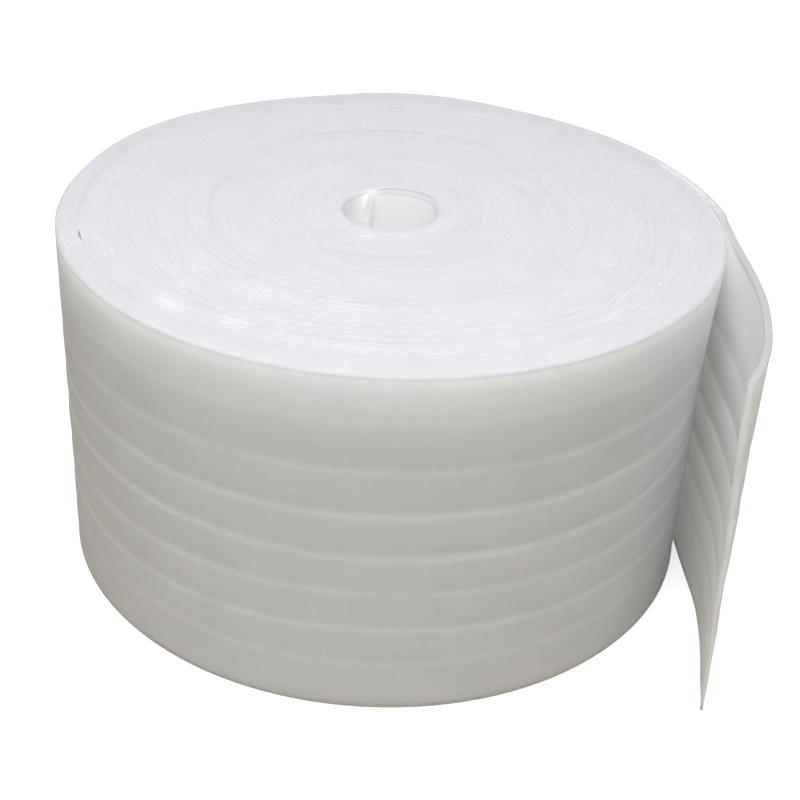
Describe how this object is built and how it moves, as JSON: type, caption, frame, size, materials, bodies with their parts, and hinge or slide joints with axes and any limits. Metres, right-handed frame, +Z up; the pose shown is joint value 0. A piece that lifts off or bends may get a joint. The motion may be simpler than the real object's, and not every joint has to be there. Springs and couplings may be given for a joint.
{
  "type": "foam wrap roll",
  "caption": "Wide roll of white foam wrapping sheet standing on its end, wound on itself round an open hole, with a loose outer tail.",
  "frame": {"origin": "on the axis of the winding hole, at the level of the floor that the roll stands on", "axes": "+Z up along the winding axis, +X towards the side where the tail leaves the roll, -Y towards the tail's free end"},
  "size_m": [0.5609, 0.5442, 0.3],
  "materials": {
    "foam": "matte white closed-cell foam with a fine cell texture"
  },
  "bodies": {
    "root": {"foam_roll": "foam"}
  },
  "joints": []
}
